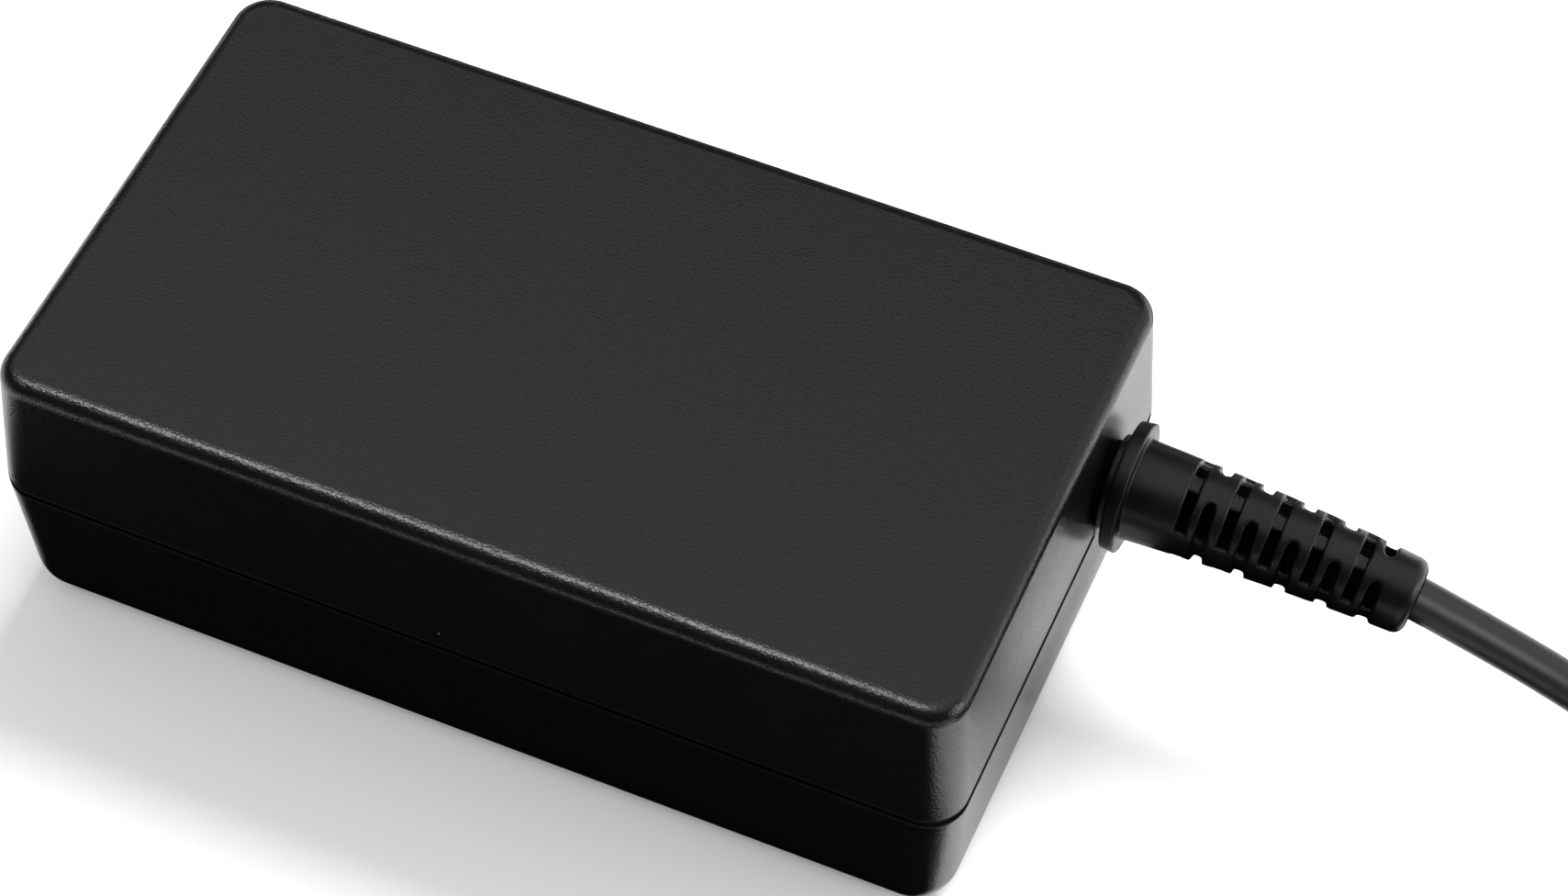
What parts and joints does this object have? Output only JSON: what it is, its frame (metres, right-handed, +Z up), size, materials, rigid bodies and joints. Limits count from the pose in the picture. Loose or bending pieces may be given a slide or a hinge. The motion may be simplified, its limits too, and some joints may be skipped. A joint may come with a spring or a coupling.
{
  "type": "laptop power adapter",
  "caption": "Moulded mains power adapter brick with a mains inlet in one end wall, a slotted strain relief and a coiled low-voltage cord ending in a barrel plug.",
  "frame": {"origin": "centre of the case's footprint on its resting face", "axes": "+X along the case to the low-voltage cord, +Z up, -Y the long side that faces forwards"},
  "size_m": [0.2464, 0.0946, 0.0357],
  "materials": {
    "case_plastic": "fine spark-eroded texture, charcoal black",
    "relief_rubber": "matte moulded elastomer, black",
    "cord_jacket": "satin extruded jacket, black",
    "strap_fabric": "woven hook-and-loop strap, black",
    "plug_rubber": "matte moulded elastomer, black",
    "plated_contact": "bright nickel plate",
    "contact_insulator": "smooth moulded plastic, black",
    "inlet_plastic": "smooth moulded plastic, black",
    "board_laminate": "glass-epoxy laminate with green mask",
    "fibre_sheet": "pressed fibre sheet, grey",
    "polyester_film": "thin polyester film, amber",
    "aluminium_sheet": "rolled and bent, satin",
    "can_sleeve": "shrink sleeve, dark blue",
    "epoxy_package": "moulded epoxy, black",
    "capacitor_box": "moulded box, yellow",
    "ceramic_coat": "dipped epoxy, blue",
    "ferrite": "pressed and sintered, dark grey",
    "copper_wire": "enamelled copper wire",
    "winding_tape": "polyester tape, yellow",
    "bobbin_plastic": "moulded phenolic, black",
    "wire_insulation": "extruded insulation, red and black"
  },
  "bodies": {
    "root": {"upper_shell": "case_plastic", "lower_shell": "case_plastic", "strain_relief": "relief_rubber", "cord_inner_end": "cord_jacket", "dc_cord_lead": "cord_jacket", "dc_cord_coil": "cord_jacket", "dc_cord_tail": "cord_jacket", "cord_ties": "strap_fabric", "plug_grip": "plug_rubber", "plug_barrel": "plated_contact", "plug_insulator": "contact_insulator", "plug_inner_contact": "plated_contact", "ac_inlet": "inlet_plastic", "inlet_pins": "plated_contact", "circuit_board": "board_laminate", "insulating_sheet": "fibre_sheet", "fuse": "epoxy_package", "x_capacitor": "capacitor_box", "choke_core": "ferrite", "choke_windings": "copper_wire", "bridge_rectifier": "epoxy_package", "bulk_capacitor": "can_sleeve", "primary_heatsink": "aluminium_sheet", "switching_transistor": "epoxy_package", "transformer_core": "ferrite", "transformer_bobbin": "bobbin_plastic", "transformer_winding": "winding_tape", "control_chip": "epoxy_package", "optocoupler": "epoxy_package", "y_capacitor": "ceramic_coat", "secondary_heatsink": "aluminium_sheet", "output_rectifier": "epoxy_package", "output_capacitors": "can_sleeve", "output_choke": "ferrite", "dc_wires": "wire_insulation", "insulating_cover": "polyester_film", "heat_spreader": "aluminium_sheet"}
  },
  "joints": []
}
